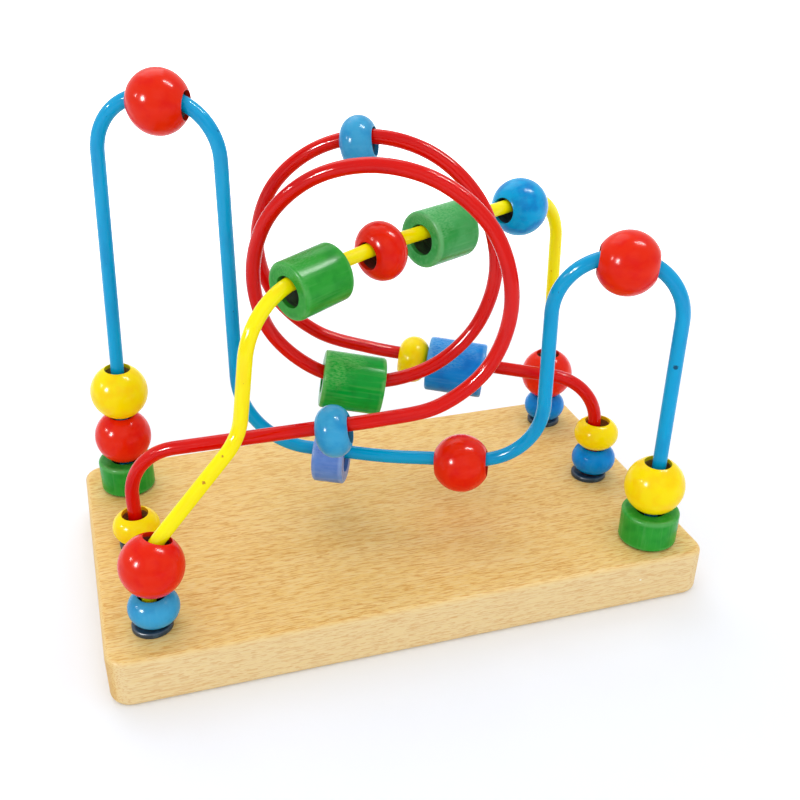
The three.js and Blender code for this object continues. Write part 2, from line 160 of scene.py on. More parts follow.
# Beads
ROUND_BORE = 5.7 * MM
CYLINDER_BORE = 6.5 * MM
BALL_DIAMETER = 25.8 * MM
CYLINDER_DIAMETER = 24 * MM
CYLINDER_LENGTH = 24 * MM
SHORT_CYLINDER_LENGTH = 14 * MM
LARGE_CYLINDER_DIAMETER = 25.2 * MM
LARGE_CYLINDER_LENGTH = 26.7 * MM
DISC_DIAMETER = 25 * MM
DISC_LENGTH = 14.8 * MM
OVAL_DIAMETER = 21.8 * MM
OVAL_LENGTH = 14.2 * MM
LARGE_OVAL_DIAMETER = 24.5 * MM
LARGE_OVAL_LENGTH = 16 * MM
BUTTON_DIAMETER = 20.6 * MM
BUTTON_LENGTH = 14 * MM
BEAD_EDGE_ROUNDING = 1.2 * MM
BORE_LIP = 0.2 * MM
PAINTED_MOUTH = 1.6 * MM
EDGE_SUPPORT = 0.3 * MM
BEAD_SIDES = 72
BEAD_ARC_STEPS = 40
BEAD_EDGE_STEPS = 8
BORE_STEPS = 6

node_body = {
    node: body for body, nodes in record["behaviour"]["bodies"].items() for node in nodes
}


# Colours and node graphs


def tone(red, green, blue):
    """A colour as Blender wants it, from 0 to 255 as a screen shows it."""
    def linear(value):
        share = value / 255
        return share / 12.92 if share <= 0.04045 else ((share + 0.055) / 1.055) ** 2.4

    return (linear(red), linear(green), linear(blue), 1)


class Graph:
    """A material whose node tree grows by short calls."""

    def __init__(self, name):
        self.material = bpy.data.materials.new(name)
        self.material.use_nodes = True
        self.tree = self.material.node_tree
        self.shader = self.tree.nodes["Principled BSDF"]

    def add(self, kind, **settings):
        node = self.tree.nodes.new(kind)
        for key, value in settings.items():
            setattr(node, key, value)
        return node

    def feed(self, socket, value):
        """Links another node's socket into this one, or sets it to a plain value."""
        if isinstance(value, bpy.types.NodeSocket):
            self.tree.links.new(value, socket)
        else:
            socket.default_value = value

    def math(self, operation, first, second=0.0, third=0.0):
        node = self.add("ShaderNodeMath", operation=operation)
        for socket, value in zip(node.inputs, (first, second, third)):
            self.feed(socket, value)
        return node.outputs[0]

    def vector(self, operation, first, second):
        node = self.add("ShaderNodeVectorMath", operation=operation)
        self.feed(node.inputs[0], first)
        self.feed(node.inputs[1], second)
        return node.outputs[0]

    def split(self, source):
        node = self.add("ShaderNodeSeparateXYZ")
        self.feed(node.inputs[0], source)
        return node.outputs

    def join(self, x, y, z):
        node = self.add("ShaderNodeCombineXYZ")
        for socket, value in zip(node.inputs, (x, y, z)):
            self.feed(socket, value)
        return node.outputs[0]

    def smooth(self, value, low, high):
        """0 up to low, 1 from high on, and a smooth step between. A low above high turns it round."""
        node = self.add("ShaderNodeMapRange", interpolation_type="SMOOTHSTEP")
        self.feed(node.inputs["Value"], value)
        node.inputs["From Min"].default_value = min(low, high)
        node.inputs["From Max"].default_value = max(low, high)
        node.inputs["To Min"].default_value = float(low > high)
        node.inputs["To Max"].default_value = float(low < high)
        return node.outputs["Result"]

    def mix(self, factor, first, second):
        node = self.add("ShaderNodeMix", data_type="RGBA")
        self.feed(node.inputs["Factor"], factor)
        first_socket, second_socket = [socket for socket in node.inputs if socket.type == "RGBA"]
        self.feed(first_socket, first)
        self.feed(second_socket, second)
        return next(socket for socket in node.outputs if socket.type == "RGBA")

    def noise(self, place, scale, detail):
        node = self.add("ShaderNodeTexNoise")
        self.feed(node.inputs["Vector"], place)
        node.inputs["Scale"].default_value = scale
        node.inputs["Detail"].default_value = detail
        return node.outputs[0]

    def grain(self, place, scales, detail):
        """Noise stretched along its axes: a low scale along one axis draws it out that way."""
        return self.noise(self.vector("MULTIPLY", place, scales), 1, detail)

    def tint(self, colour, shade, mask, strength):
        """The colour turned towards a shade where the mask is, and at most this strongly."""
        return self.mix(self.math("MULTIPLY", mask, strength), colour, shade)

    def spot(self, place, centre, radius, edge, ragged):
        """1 round a centre and 0 past its radius, with an edge of some width made ragged by noise."""
        gap = self.add("ShaderNodeVectorMath", operation="DISTANCE")
        self.feed(gap.inputs[0], place)
        gap.inputs[1].default_value = centre
        distance = self.math("ADD", gap.outputs["Value"], ragged)
        return self.smooth(distance, radius, radius - edge)

    def bump(self, height, depth):
        node = self.add("ShaderNodeBump")
        self.feed(node.inputs["Height"], height)
        node.inputs["Distance"].default_value = depth
        self.feed(self.shader.inputs["Normal"], node.outputs[0])

    def own_place(self):
        return self.add("ShaderNodeTexCoord").outputs["Object"]

    def kept_place(self, name):
        """The place that a mesh keeps for its texture in a named attribute."""
        return self.add("ShaderNodeAttribute", attribute_name=name).outputs["Vector"]

    def set(self, **values):
        for name, value in values.items():
            self.shader.inputs[name.replace("_", " ")].default_value = value


# Beech

BEECH_FACE = tone(242, 208, 134)
BEECH_DARK = tone(238, 199, 118)
BEECH_PALE = tone(240, 212, 152)
BEECH_FLECK = tone(210, 138, 50)
# Lighter, paler tone for the board's front and back faces: painted light on these faces
BEECH_SIDE_PAINTED_LIGHT = tone(241, 218, 172)
# Darker tone for the board's end faces: partly the end grain's own tone, partly painted shade on these faces
BEECH_END_GRAIN_AND_SHADE = tone(222, 180, 108)
BEECH_CHIP = tone(246, 236, 214)
BEECH_CHIPS = [
    (Vector((97, -75, 13.5)) * MM, 1.1 * MM),
    (Vector((-117, -72.5, 20)) * MM, 1.6 * MM),
    (Vector((30, -8, 22)) * MM, 0.5 * MM),
]
CHIP_EDGE = 0.4 * MM
CHIP_RAGGEDNESS = 0.8 * MM
CHIP_RAGGED_SCALE = 1500

# Scales of the beech's noises along the board, across it and through it
DRIFT_SCALE = (6, 14, 14)
BAND_SCALE = (7, 110, 110)
CLOUD_SCALE = (10, 26, 26)
FIBRE_SCALE = (40, 1500, 1500)
FLECK_SCALE = (210, 2200, 2200)
THINNING_SCALE = (24, 60, 60)
GRAIN_DRIFT = 14 * MM

# Where each mask of the beech begins and where it is full
BAND_STEP = (0.32, 0.68)
CLOUD_STEP = (0.5, 0.75)
FIBRE_STEP = (0.5, 0.72)
FLECK_STEP = (0.55, 0.6)
GLINT_STEP = (0.45, 0.39)
THINNING_STEP = (0.3, 0.62)
END_GRAIN_AND_SHADE_STEP = (0.6, 0.98)
SIDE_PAINTED_LIGHT_STEP = (0.5, 0.95)
# Painted highlight along the board's rounded edges: where it begins and where it is full, by how far a face
# points up
EDGE_HIGHLIGHT_RISE_STEP = (0.12, 0.4)
EDGE_HIGHLIGHT_FALL_STEP = (0.97, 0.85)

# How strongly each mask shows
CLOUD_STRENGTH = 0.2
FIBRE_STRENGTH = 0.24
FLECK_STRENGTH = 0.5
FLECK_EXTRA = 0.1
FLECK_SIDE_FADE = -0.4
GLINT_STRENGTH = 0.6
END_GRAIN_AND_SHADE_STRENGTH = 0.8
SIDE_PAINTED_LIGHT_STRENGTH = 0.7
EDGE_HIGHLIGHT_STRENGTH = 0.35

BEECH_ROUGHNESS = 0.38
BAND_ROUGHNESS = 0.12
FIBRE_RELIEF = 0.3
BEECH_RELIEF = 0.03 * MM
BEECH_SPECULAR = 0.15


def beech():
    graph = Graph("beech")
    place = graph.own_place()
    drift = graph.grain(place, DRIFT_SCALE, 1)
    shift = graph.math("MULTIPLY", graph.math("SUBTRACT", drift, 0.5), GRAIN_DRIFT)
    along, across, height = graph.split(place)
    bent_place = graph.join(along, graph.math("ADD", across, shift), height)
    bands = graph.grain(bent_place, BAND_SCALE, 5)
    clouds = graph.grain(place, CLOUD_SCALE, 2)
    fibres = graph.grain(bent_place, FIBRE_SCALE, 2)
    flecks = graph.grain(bent_place, FLECK_SCALE, 1)
    fleck = graph.smooth(flecks, *FLECK_STEP)
    glint = graph.smooth(flecks, *GLINT_STEP)
    thinning = graph.smooth(graph.grain(place, THINNING_SCALE, 2), *THINNING_STEP)
    colour = graph.mix(graph.smooth(bands, *BAND_STEP), BEECH_DARK, BEECH_FACE)
    colour = graph.tint(colour, BEECH_PALE, graph.smooth(clouds, *CLOUD_STEP), CLOUD_STRENGTH)
    facing = graph.add("ShaderNodeNewGeometry").outputs["Normal"]
    facing_x, facing_y, facing_z = graph.split(facing)
    # The end faces, picked by their facing, are darkened: partly end grain, partly painted shade
    end_grain_and_shade = graph.smooth(graph.math("ABSOLUTE", facing_x), *END_GRAIN_AND_SHADE_STEP)
    # Painted light: the front and back faces, picked by their facing, are turned lighter and paler
    side = graph.smooth(graph.math("ABSOLUTE", facing_y), *SIDE_PAINTED_LIGHT_STEP)
    colour = graph.tint(colour, BEECH_SIDE_PAINTED_LIGHT, side, SIDE_PAINTED_LIGHT_STRENGTH)
    colour = graph.tint(colour, BEECH_PALE, glint, GLINT_STRENGTH)
    colour = graph.tint(colour, BEECH_END_GRAIN_AND_SHADE, end_grain_and_shade, END_GRAIN_AND_SHADE_STRENGTH)
    strength = graph.math("MULTIPLY_ADD", thinning, FLECK_EXTRA, FLECK_STRENGTH)
    strength = graph.math("MULTIPLY", fleck, strength)
    side_fade = graph.math("MULTIPLY_ADD", side, FLECK_SIDE_FADE, 1)
    colour = graph.tint(colour, BEECH_FLECK, strength, side_fade)
    colour = graph.tint(colour, BEECH_FLECK, graph.smooth(fibres, *FIBRE_STEP), FIBRE_STRENGTH)
    # Painted highlight: the rounded edges, facing between up and sideways, are turned pale
    upward = graph.math("ABSOLUTE", facing_z)
    edge = graph.math(
        "MULTIPLY",
        graph.smooth(upward, *EDGE_HIGHLIGHT_RISE_STEP),
        graph.smooth(upward, *EDGE_HIGHLIGHT_FALL_STEP),
    )
    colour = graph.tint(colour, BEECH_PALE, edge, EDGE_HIGHLIGHT_STRENGTH)
    ragged = graph.math("MULTIPLY", graph.noise(place, CHIP_RAGGED_SCALE, 2), CHIP_RAGGEDNESS)
    for chip_place, chip_radius in BEECH_CHIPS:
        chip = graph.spot(place, chip_place, chip_radius, CHIP_EDGE, ragged)
        colour = graph.mix(chip, colour, BEECH_CHIP)
    graph.feed(graph.shader.inputs["Base Color"], colour)
    roughness = graph.math("MULTIPLY_ADD", bands, BAND_ROUGHNESS, BEECH_ROUGHNESS)
    graph.feed(graph.shader.inputs["Roughness"], roughness)
    relief = graph.math("SUBTRACT", graph.math("MULTIPLY", fibres, FIBRE_RELIEF), fleck)
    graph.bump(relief, BEECH_RELIEF)
    graph.set(Specular_IOR_Level=BEECH_SPECULAR)
    return graph.material


# Black plastic of the bushings

BUSHING_BLACK = tone(26, 52, 74)
BUSHING_WORN = tone(50, 80, 102)
BUSHING_CLOUD_SCALE = 420
BUSHING_GRAIN_SCALE = 3000
BUSHING_CLOUD_STEP = (0.45, 0.8)
BUSHING_ROUGHNESS = 0.25
BUSHING_CLOUD_ROUGHNESS = 0.25
BUSHING_GRAIN_RELIEF = 0.3
BUSHING_RELIEF = 0.08 * MM


def black_plastic():
    graph = Graph("black_plastic")
    place = graph.own_place()
    cloud = graph.noise(place, BUSHING_CLOUD_SCALE, 3)
    grain = graph.noise(place, BUSHING_GRAIN_SCALE, 2)
    colour = graph.mix(graph.smooth(cloud, *BUSHING_CLOUD_STEP), BUSHING_BLACK, BUSHING_WORN)
    graph.feed(graph.shader.inputs["Base Color"], colour)
    roughness = graph.math("MULTIPLY_ADD", cloud, BUSHING_CLOUD_ROUGHNESS, BUSHING_ROUGHNESS)
    graph.feed(graph.shader.inputs["Roughness"], roughness)
    relief = graph.math("ADD", graph.math("MULTIPLY", grain, BUSHING_GRAIN_RELIEF), cloud)
    graph.bump(relief, BUSHING_RELIEF)
    return graph.material


# Coated wire

WIRE_TONES = {
    "wire_blue": (tone(0, 164, 218), tone(0, 148, 206)),
    "wire_red": (tone(220, 10, 0), tone(206, 0, 2)),
    "wire_yellow": (tone(255, 243, 0), tone(255, 228, 0)),
}
WIRE_MARK_TONES = {
    "wire_blue": tone(10, 52, 84),
    "wire_red": tone(110, 0, 8),
    "wire_yellow": tone(180, 84, 30),
}

# Scales of the coat's noises: across the wire, twice, and along it
COAT_SHADE_SCALE = (220, 220, 45)
COAT_FINE_SCALE = (900, 900, 300)
COAT_DENT_SCALE = (260, 260, 150)
COAT_NICK_SCALE = (700, 700, 420)

COAT_SHADE_STEP = (0.42, 0.75)
COAT_NICK_STEP = (0.77, 0.8)
COAT_NICK_STRENGTH = 0.6
MARK_RAGGED_SCALE = 1800
MARK_RAGGEDNESS = 1.2 * MM
MARK_EDGE = 0.5 * MM
COAT_ROUGHNESS = 0.04
COAT_FINE_ROUGHNESS = 0.1
COAT_FINE_RELIEF = 0.1
COAT_RELIEF = 0.08 * MM
COAT_SPECULAR = 0.18


def coated_wire(name, marks):
    """Glossy plastic coat: its texture runs along the wire, and the marks are small scuffs."""
    graph = Graph(name)
    place = graph.kept_place("wire_place")
    main, deep = WIRE_TONES[name]
    slow = graph.grain(place, COAT_SHADE_SCALE, 3)
    fine = graph.grain(place, COAT_FINE_SCALE, 2)
    dents = graph.grain(place, COAT_DENT_SCALE, 1)
    colour = graph.mix(graph.smooth(slow, *COAT_SHADE_STEP), main, deep)
    nick = graph.smooth(graph.grain(place, COAT_NICK_SCALE, 1), *COAT_NICK_STEP)
    colour = graph.tint(colour, WIRE_MARK_TONES[name], nick, COAT_NICK_STRENGTH)
    own = graph.own_place()
    ragged = graph.math("MULTIPLY", graph.noise(own, MARK_RAGGED_SCALE, 2), MARK_RAGGEDNESS)
    for mark_place, mark_radius, strength in marks:
        mark = graph.spot(own, mark_place, mark_radius, MARK_EDGE, ragged)
        colour = graph.tint(colour, WIRE_MARK_TONES[name], mark, strength)
    graph.feed(graph.shader.inputs["Base Color"], colour)
    roughness = graph.math("MULTIPLY_ADD", fine, COAT_FINE_ROUGHNESS, COAT_ROUGHNESS)
    graph.feed(graph.shader.inputs["Roughness"], roughness)
    relief = graph.math("ADD", dents, graph.math("MULTIPLY", fine, COAT_FINE_RELIEF))
    graph.bump(relief, COAT_RELIEF)
    graph.set(Specular_IOR_Level=COAT_SPECULAR)
    return graph.material


# Painted and bare wood of the beads, with painted shade in the bores

PAINTS = {
    "red": dict(main=tone(232, 38, 4), deep=tone(226, 22, 4), pale=tone(238, 76, 40)),
    "yellow": dict(main=tone(255, 228, 0), deep=tone(255, 214, 0), pale=tone(255, 236, 70)),
    "green": dict(main=tone(44, 158, 50), deep=tone(28, 142, 42), pale=tone(104, 184, 100)),
    "dark_green": dict(main=tone(0, 158, 50), deep=tone(0, 140, 42), pale=tone(116, 190, 100)),
    "worn_green": dict(main=tone(70, 178, 92), deep=tone(48, 164, 72), pale=tone(128, 204, 136)),
    "blue": dict(main=tone(0, 138, 224), deep=tone(0, 118, 208), pale=tone(110, 180, 232)),
    "sky_blue": dict(main=tone(0, 164, 222), deep=tone(0, 132, 204), pale=tone(112, 190, 230)),
    "light_blue": dict(main=tone(60, 162, 210), deep=tone(40, 146, 202), pale=tone(126, 190, 222)),
    "lilac": dict(main=tone(100, 144, 224), deep=tone(84, 126, 212), pale=tone(156, 186, 238)),
}
# Colours inside each bead's bore, near and deep: bare wood stained by the paint, and darkened as painted
# shade in the narrow bore
BORE_WOOD_AND_SHADE = {
    "red": (tone(112, 28, 18), tone(70, 20, 14)),
    "yellow": (tone(168, 120, 40), tone(116, 74, 22)),
    "green": (tone(38, 78, 40), tone(20, 44, 24)),
    "dark_green": (tone(30, 68, 34), tone(16, 36, 20)),
    "worn_green": (tone(38, 78, 40), tone(20, 44, 24)),
    "blue": (tone(20, 54, 88), tone(10, 28, 50)),
    "sky_blue": (tone(20, 54, 88), tone(8, 22, 42)),
    "light_blue": (tone(28, 66, 100), tone(12, 34, 58)),
    "lilac": (tone(66, 72, 128), tone(40, 44, 88)),
}

# Shift of the paint's noises from one bead to the next
BEAD_SHIFT = 37.1 * MM

# Scales of the paint's and the bores' noises. Three have one scale across the bore, twice, and one along it.
MOTTLE_SCALE = 150
SPECKLE_SCALE = 2600
SCUFF_CLOUD_SCALE = 90
BRUSH_SCALE = (620, 620, 42)
GRIT_SCALE = (1700, 1700, 700)
TURNING_SCALE = (260, 260, 1500)

MOTTLE_STEP = (0.4, 0.7)
PALE_BRUSH_STEP = (0.5, 0.72)
DEEP_BRUSH_STEP = (0.5, 0.3)
GRIT_STEP = (0.3, 0.72)
DEEP_BRUSH_SHARE = 0.9
RIM_BEGINS = 2.4 * MM
RIM_FULL = 0.9 * MM
RIM_WEAR_STEP = (0.3, 0.6)
RIM_WEAR_STRENGTH = 0.55

# Scuffs and painted sheen on a cylinder's upper front left side, as shares of its radius
SCUFF_CLOUD_SHARE = 0.9
SCUFF_BEGINS_SHARE = 1.1
SCUFF_FULL_SHARE = 1.5

BORE_SHADE_OUTSIDE = 0.3 * MM
BORE_SHADE_INSIDE = 0.1 * MM
BORE_SHADE_STRENGTH = 0.3
MOTTLE_ROUGHNESS = 0.08
SCUFF_ROUGHNESS = 0.3
BRUSH_RELIEF = 0.5
SPECKLE_RELIEF = 0.1
PAINT_RELIEF = 0.06 * MM
PAINT_SPECULAR = 0.12
TURNING_STEP = (0.35, 0.7)
TURNING_RELIEF = 0.15 * MM
BARE_WOOD_ROUGHNESS = 0.75


def bead_paint(paint, gloss, streaks, scuffs, half_length=None, radius=None, scuffed_and_lit_side=None):
    """Gloss paint over turned wood. The bead's own Z runs along its bore, and so does the grain."""
    graph = Graph(f"paint_{paint}_{'round' if radius is None else 'edged'}_{round(scuffs * 100)}")
    own = graph.kept_place("bead_place")
    index = graph.add("ShaderNodeObjectInfo").outputs["Object Index"]
    offset = graph.math("MULTIPLY", index, BEAD_SHIFT)
    place = graph.vector("ADD", own, graph.join(offset, offset, offset))
    tones = PAINTS[paint]
    mottle = graph.noise(place, MOTTLE_SCALE, 4)
    brush = graph.grain(place, BRUSH_SCALE, 4)
    speckle = graph.noise(place, SPECKLE_SCALE, 2)
    pale_brush = graph.smooth(brush, *PALE_BRUSH_STEP)
    deep_brush = graph.smooth(brush, *DEEP_BRUSH_STEP)
    colour = graph.mix(graph.smooth(mottle, *MOTTLE_STEP), tones["main"], tones["deep"])
    colour = graph.tint(colour, tones["pale"], pale_brush, streaks)
    colour = graph.tint(colour, tones["deep"], deep_brush, streaks * DEEP_BRUSH_SHARE)
    x, y, z = graph.split(own)
    squares = graph.math("ADD", graph.math("MULTIPLY", x, x), graph.math("MULTIPLY", y, y))
    out = graph.math("SQRT", squares)
    along = graph.math("ABSOLUTE", z)
    rough = graph.math("MULTIPLY_ADD", mottle, MOTTLE_ROUGHNESS, gloss)
    if radius is not None:
        rim = graph.math(
            "MULTIPLY",
            graph.smooth(out, radius - RIM_BEGINS, radius - RIM_FULL),
            graph.smooth(along, half_length - RIM_BEGINS, half_length - RIM_FULL),
        )
        worn = graph.math("MULTIPLY", rim, graph.smooth(mottle, *RIM_WEAR_STEP))
        colour = graph.tint(colour, tones["pale"], worn, RIM_WEAR_STRENGTH)
    if scuffs:
        # A pale gritty patch on the side facing up, front and left: partly scuffs, partly painted sheen
        # where the light falls
        turned = graph.add("ShaderNodeVectorMath", operation="DOT_PRODUCT")
        graph.feed(turned.inputs[0], own)
        turned.inputs[1].default_value = scuffed_and_lit_side
        cloud = graph.noise(place, SCUFF_CLOUD_SCALE, 2)
        height = graph.math("MULTIPLY_ADD", cloud, SCUFF_CLOUD_SHARE * radius, turned.outputs["Value"])
        patch = graph.smooth(height, SCUFF_BEGINS_SHARE * radius, SCUFF_FULL_SHARE * radius)
        grit = graph.smooth(graph.grain(place, GRIT_SCALE, 4), *GRIT_STEP)
        scuff_and_sheen = graph.math("MULTIPLY", graph.math("MULTIPLY", patch, grit), scuffs)
        colour = graph.mix(scuff_and_sheen, colour, tones["pale"])
        rough = graph.math("MULTIPLY_ADD", scuff_and_sheen, SCUFF_ROUGHNESS, rough)
    bore = ROUND_BORE if radius is None else CYLINDER_BORE
    # Painted shade at the bore's mouth: the paint turns towards the bore's dark colour round its edge
    lip = graph.smooth(out, bore + BORE_SHADE_OUTSIDE, bore - BORE_SHADE_INSIDE)
    colour = graph.tint(colour, BORE_WOOD_AND_SHADE[paint][0], lip, BORE_SHADE_STRENGTH)
    graph.feed(graph.shader.inputs["Base Color"], colour)
    graph.feed(graph.shader.inputs["Roughness"], rough)
    relief = graph.math("ADD", graph.math("MULTIPLY", brush, BRUSH_RELIEF + streaks), mottle)
    relief = graph.math("MULTIPLY_ADD", speckle, SPECKLE_RELIEF, relief)
    graph.bump(relief, PAINT_RELIEF)
    graph.set(Specular_IOR_Level=PAINT_SPECULAR)
    return graph.material


def bore_wood_and_shade(paint):
    graph = Graph(f"bore_{paint}")
    near, deep = BORE_WOOD_AND_SHADE[paint]
    turned = graph.grain(graph.kept_place("bead_place"), TURNING_SCALE, 3)
    colour = graph.mix(graph.smooth(turned, *TURNING_STEP), near, deep)
    graph.feed(graph.shader.inputs["Base Color"], colour)
    graph.bump(turned, TURNING_RELIEF)
    graph.set(Roughness=BARE_WOOD_ROUGHNESS)
    return graph.material


# Meshes

# Materials of a turned piece by their index: its outside, and the inside of a bead's bore, bare wood
# darkened by painted shade
OUTSIDE = 0
INSIDE = 1


def new_object(name, vertices, faces, material_indices, materials):
    mesh = bpy.data.meshes.new(name)
    mesh.from_pydata(vertices, [], faces)
    for material in materials:
        mesh.materials.append(material)
    mesh.polygons.foreach_set("material_index", material_indices)
    mesh.polygons.foreach_set("use_smooth", [True] * len(faces))
    mesh.update()
    piece = bpy.data.objects.new(name, mesh)
    bpy.context.scene.collection.objects.link(piece)
    return piece


def keep_place(piece, name, places):
    attribute = piece.data.attributes.new(name, "FLOAT_VECTOR", "POINT")
    attribute.data.foreach_set("vector", places)


def lathe(name, profile, sides, materials):
    """Turns a closed profile of (radius, height, material index) round Z. The outside is on the right."""
    count = len(profile)
    vertices = []
    for side in range(sides):
        angle = FULL_TURN * side / sides
        for radius, height, _ in profile:
            vertices.append((radius * math.cos(angle), radius * math.sin(angle), height))
    faces = []
    indices = []
    for side in range(sides):
        here = side * count
        there = ((side + 1) % sides) * count
        for step in range(count):
            following = (step + 1) % count
            faces.append((here + step, there + step, there + following, here + following))
            indices.append(profile[step][2])
    return new_object(name, vertices, faces, indices, materials)


def arc(centre_radius, centre_height, radius, start, end, steps):
    """Points of a round stretch of a profile, from the start angle to the end angle."""
    points = []
    for step in range(steps + 1):
        angle = start + (end - start) * step / steps
        points.append((
            centre_radius + radius * math.cos(angle),
            centre_height + radius * math.sin(angle),
            OUTSIDE,
        ))
    return points


def bore_wall(bore, lip_height):
    """The bore from its upper lip down: paint reaches a little way in, and the rest is bare wood darkened
    with painted shade.
    """
    bare = lip_height - PAINTED_MOUTH
    wall = [(bore, lip_height, OUTSIDE)]
    wall += [(bore, bare * (1 - 2 * step / BORE_STEPS), INSIDE) for step in range(BORE_STEPS)]
    wall.append((bore, -bare, OUTSIDE))
    return wall


def round_profile(diameter, length):
    """A ball or a flattened bead: its side is one arc, with a small round lip at each mouth."""
    arc_radius = length / 2
    arc_centre = diameter / 2 - arc_radius
    lip_centre = ROUND_BORE + BORE_LIP
    reach = math.acos((lip_centre - arc_centre) / (arc_radius - BORE_LIP))
    lip_height = (arc_radius - BORE_LIP) * math.sin(reach)
    side = arc(arc_centre, 0, arc_radius, -reach, reach, BEAD_ARC_STEPS)
    top_lip = arc(lip_centre, lip_height, BORE_LIP, reach, math.pi, BORE_STEPS)[1:-1]
    bottom_lip = arc(lip_centre, -lip_height, BORE_LIP, math.pi, FULL_TURN - reach, BORE_STEPS)[:-1]
    return side + top_lip + bore_wall(ROUND_BORE, lip_height) + bottom_lip


def edged_profile(diameter, length):
    """A cylinder with rounded edges and a small round lip at each mouth."""
    radius = diameter / 2
    half = length / 2
    inner = radius - BEAD_EDGE_ROUNDING
    edge = half - BEAD_EDGE_ROUNDING
    lip_centre = CYLINDER_BORE + BORE_LIP
    lip_height = half - BORE_LIP
    bottom_edge = arc(inner, -edge, BEAD_EDGE_ROUNDING, -QUARTER_TURN, 0, BEAD_EDGE_STEPS)
    top_edge = arc(inner, edge, BEAD_EDGE_ROUNDING, 0, QUARTER_TURN, BEAD_EDGE_STEPS)
    side = [
        (radius, -edge + EDGE_SUPPORT, OUTSIDE),
        (radius, 0, OUTSIDE),
        (radius, edge - EDGE_SUPPORT, OUTSIDE),
    ]
    top_face = [(inner - EDGE_SUPPORT, half, OUTSIDE), (lip_centre + EDGE_SUPPORT, half, OUTSIDE)]
    top_lip = arc(lip_centre, lip_height, BORE_LIP, QUARTER_TURN, math.pi, BORE_STEPS)[:-1]
    bottom_lip = arc(lip_centre, -lip_height, BORE_LIP, math.pi, math.pi + QUARTER_TURN, BORE_STEPS)
    bottom_face = [(lip_centre + EDGE_SUPPORT, -half, OUTSIDE), (inner - EDGE_SUPPORT, -half, OUTSIDE)]
    return (
        bottom_edge + side + top_edge + top_face + top_lip
        + bore_wall(CYLINDER_BORE, lip_height) + bottom_lip + bottom_face
    )


# Where a bead's node is: its middle, and the direction of its bore


SAME_POINT_DIGITS = 6


def seat_of(node):
    """The node's rings lie evenly round its bore, so the bore is the odd one of its three main axes."""
    corners = frame["nodes"][node].data.vertices
    unique = {tuple(round(value, SAME_POINT_DIGITS) for value in corner.co) for corner in corners}
    points = [Vector(point) for point in sorted(unique)]
    centre = sum(points, Vector()) / len(points)
    spread = Matrix(((0, 0, 0), (0, 0, 0), (0, 0, 0)))
    for point in points:
        offset = point - centre
        for row in range(3):
            for column in range(3):
                spread[row][column] += offset[row] * offset[column]
    values, vectors = np.linalg.eigh(np.array(spread))
    odd = 0 if values[1] - values[0] > values[2] - values[1] else 2
    axis = Vector(vectors[:, odd]).normalized()
    if axis.dot(Vector((1, 0, 1))) < 0:
        axis.negate()
    return centre, axis


BALL = ("round", BALL_DIAMETER, BALL_DIAMETER)
OVAL = ("round", OVAL_DIAMETER, OVAL_LENGTH)
LARGE_OVAL = ("round", LARGE_OVAL_DIAMETER, LARGE_OVAL_LENGTH)
BUTTON = ("round", BUTTON_DIAMETER, BUTTON_LENGTH)
CYLINDER = ("edged", CYLINDER_DIAMETER, CYLINDER_LENGTH)
SHORT_CYLINDER = ("edged", CYLINDER_DIAMETER, SHORT_CYLINDER_LENGTH)
LARGE_CYLINDER = ("edged", LARGE_CYLINDER_DIAMETER, LARGE_CYLINDER_LENGTH)
DISC = ("edged", DISC_DIAMETER, DISC_LENGTH)

# Each bead's form, paint, and strength of its scuffs with painted sheen
BEADS = {
    "blue_wire_green_disc_left": (DISC, "green", 0),
    "blue_wire_red_ball_left": (BALL, "red", 0),
    "blue_wire_yellow_ball_left": (BALL, "yellow", 0),
    "blue_wire_red_ball_tall_arch": (BALL, "red", 0),
    "blue_wire_lilac_cylinder": (SHORT_CYLINDER, "lilac", 0.3),
    "blue_wire_red_ball_low": (BALL, "red", 0),
    "blue_wire_red_ball_low_arch": (BALL, "red", 0),
    "blue_wire_green_disc_right": (DISC, "green", 0),
    "blue_wire_yellow_ball_right": (BALL, "yellow", 0),
    "red_wire_yellow_button_left": (BUTTON, "yellow", 0),
    "red_wire_blue_oval_low": (OVAL, "light_blue", 0),
    "red_wire_green_cylinder": (LARGE_CYLINDER, "dark_green", 0.6),
    "red_wire_blue_oval_top": (OVAL, "light_blue", 0),
    "red_wire_yellow_oval": (OVAL, "yellow", 0),
    "red_wire_blue_cylinder": (LARGE_CYLINDER, "blue", 0.7),
    "red_wire_blue_button_right": (BUTTON, "blue", 0),
    "red_wire_yellow_button_right": (BUTTON, "yellow", 0),
    "yellow_wire_blue_button_left": (BUTTON, "light_blue", 0),
    "yellow_wire_red_ball_left": (BALL, "red", 0),
    "yellow_wire_green_cylinder_left": (CYLINDER, "green", 0.2),
    "yellow_wire_red_oval": (LARGE_OVAL, "red", 0),
    "yellow_wire_green_cylinder_right": (CYLINDER, "worn_green", 0.35),
    "yellow_wire_blue_ball": (BALL, "sky_blue", 0),
    "yellow_wire_blue_button_right": (BUTTON, "blue", 0),
    "yellow_wire_red_ball_right": (BALL, "red", 0),
}
BALL_GLOSS = 0.14
CYLINDER_GLOSS = 0.2
BALL_STREAKS = 0.05
CYLINDER_STREAKS = 0.22
# Direction of the cylinders' pale patch in the model's frame: partly scuffed, partly painted sheen towards
# the light
SCUFFED_AND_LIT_SIDE = Vector((-0.35, -0.3, 0.89))


